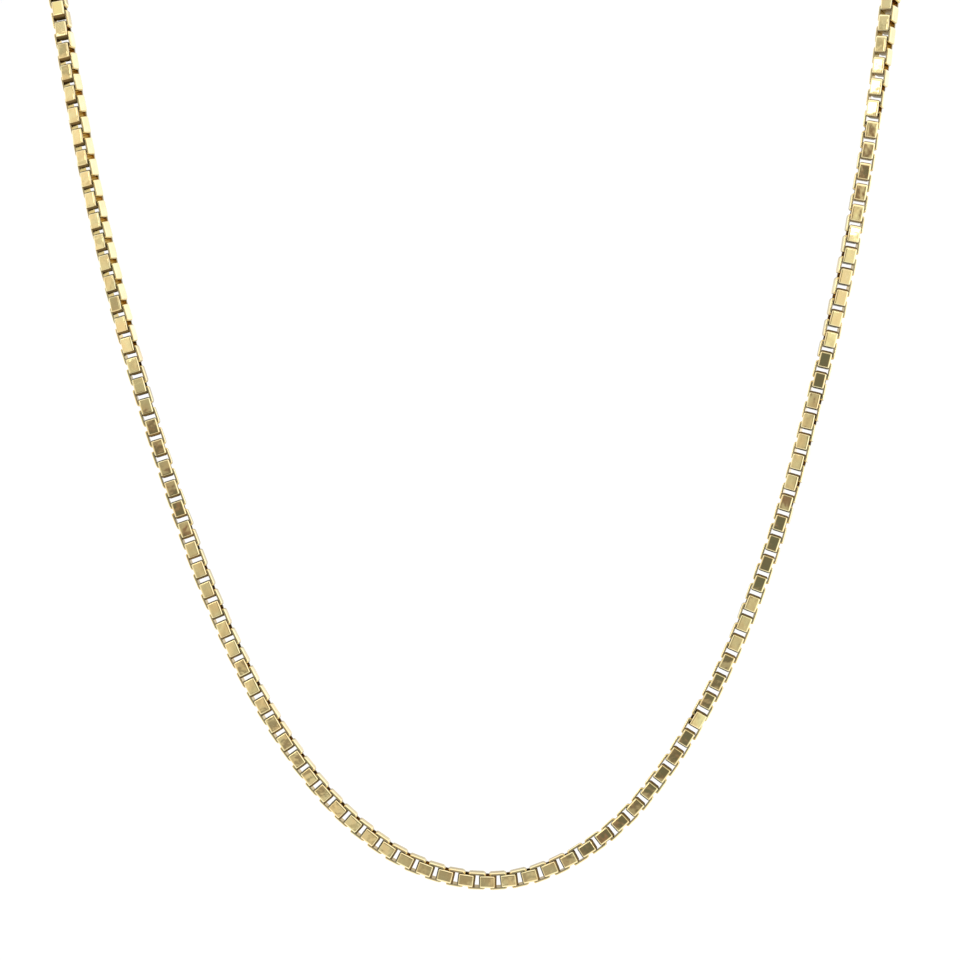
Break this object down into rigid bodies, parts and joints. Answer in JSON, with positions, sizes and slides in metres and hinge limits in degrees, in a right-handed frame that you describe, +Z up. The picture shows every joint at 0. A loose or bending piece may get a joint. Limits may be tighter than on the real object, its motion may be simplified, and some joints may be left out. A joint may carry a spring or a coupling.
{
  "type": "box chain necklace",
  "caption": "Gold necklace of interlocked square box links, hanging in a long U in front and closed at the nape by a plain oval clasp.",
  "frame": {"origin": "middle of the neck opening, midway between the two sides of the chain, where the neck passes through", "axes": "+Z up, +X to the viewer's right as the front is seen, -Y towards the front of the wearer"},
  "size_m": [0.11, 0.133, 0.1211],
  "materials": {
    "gold_chain": "polished yellow gold",
    "gold_fittings": "polished yellow gold"
  },
  "bodies": {
    "root": {"chain_front": "gold_chain", "chain_back": "gold_chain", "end_ring_left": "gold_fittings", "end_ring_right": "gold_fittings", "clasp": "gold_fittings"}
  },
  "joints": []
}
